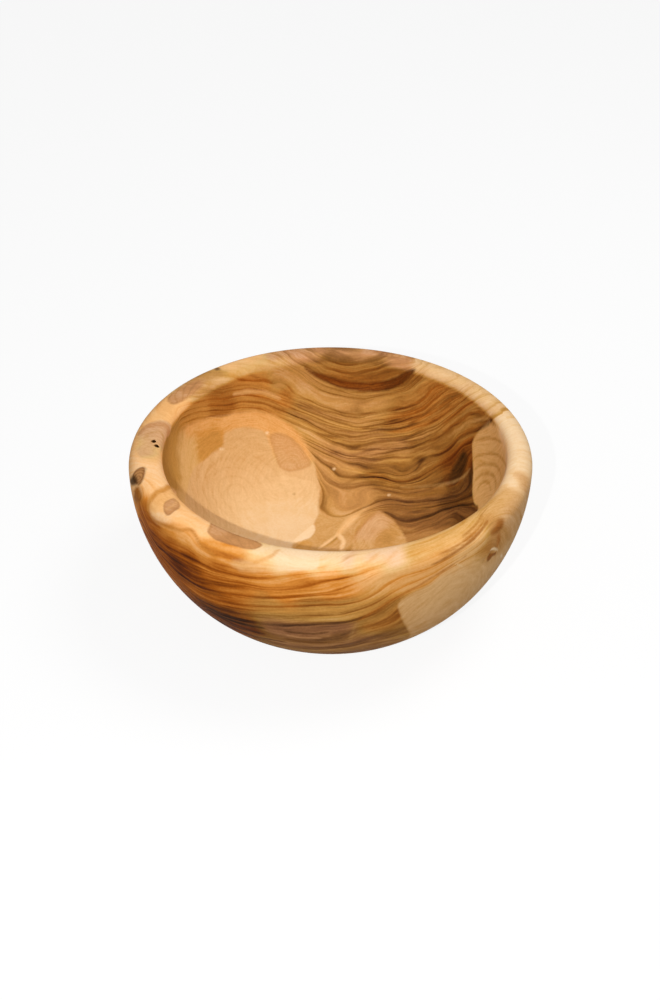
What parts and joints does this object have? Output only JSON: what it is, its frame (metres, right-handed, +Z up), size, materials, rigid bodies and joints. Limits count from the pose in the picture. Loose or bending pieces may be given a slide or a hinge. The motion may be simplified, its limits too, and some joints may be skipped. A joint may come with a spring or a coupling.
{
  "type": "turned wooden dish",
  "caption": "Round dish turned from solid olive wood, with a thick rounded rim, a deep bowl-shaped hollow and a flat base, for serving olives and other small table foods.",
  "frame": {"origin": "middle of the flat base, on the table", "axes": "+Z up through the mouth, along the axis that the outside is turned on; +X towards the thinner side of the rim, to the right in the picture; +Y away from the picture's viewer"},
  "size_m": [0.12, 0.12, 0.05],
  "materials": {
    "olive_wood": "oiled and polished olive wood, satin, with dark brown veins, pale sapwood and small knots"
  },
  "bodies": {
    "root": {"bowl": "olive_wood"}
  },
  "joints": []
}
